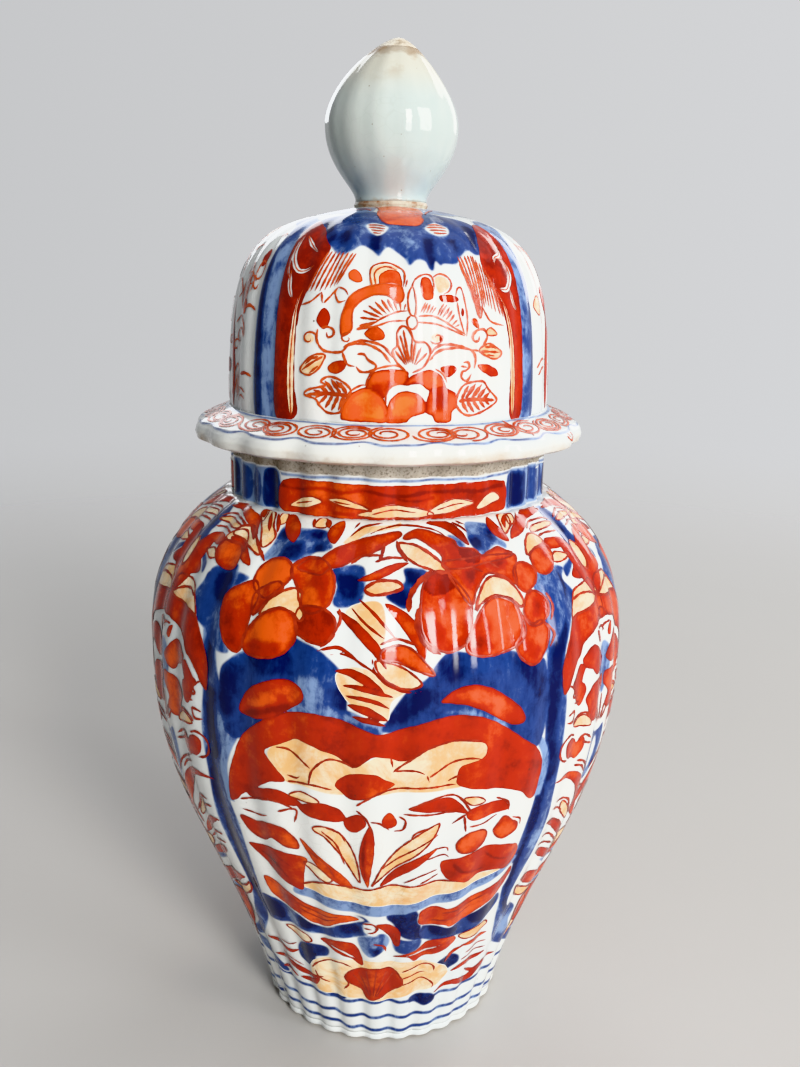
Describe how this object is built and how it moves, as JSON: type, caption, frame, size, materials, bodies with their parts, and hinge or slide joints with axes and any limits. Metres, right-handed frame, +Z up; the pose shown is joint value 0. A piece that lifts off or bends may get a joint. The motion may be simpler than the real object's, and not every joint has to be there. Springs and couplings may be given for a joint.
{
  "type": "ginger jar",
  "caption": "Ribbed baluster porcelain jar with an upright neck and a lift-off domed lid: scalloped flange, locating collar and bud finial, painted in blue, iron red and cream panels.",
  "frame": {"origin": "centre of the foot, on the surface that the jar stands on", "axes": "+Z up along the jar's axis; the main painted panel faces -Y"},
  "size_m": [0.1472, 0.1472, 0.3],
  "materials": {
    "porcelain_glaze": "glossy, faintly blue-grey glaze",
    "bare_clay": "unglazed, matt, gritty",
    "seam_stain": "matt, rust-brown",
    "cobalt_blue": "blue painted under the glaze",
    "iron_red": "red enamel over the glaze",
    "outline_red": "dark red line enamel",
    "cream_wash": "worn pale gilding and cream wash"
  },
  "bodies": {
    "jar": {"foot_ring": "bare_clay", "jar_body": "porcelain_glaze", "neck_ring": "porcelain_glaze"},
    "lid": {"lid_collar": "bare_clay", "lid_flange": "porcelain_glaze", "lid_dome": "porcelain_glaze", "finial_seam": "seam_stain", "finial_bud": "porcelain_glaze", "finial_tip": "bare_clay"}
  },
  "joints": [
    {"name": "lid_lift", "type": "slide", "parent": "jar", "child": "lid", "axis": [0, 0, 1], "range_m": [0, 0.12]}
  ]
}
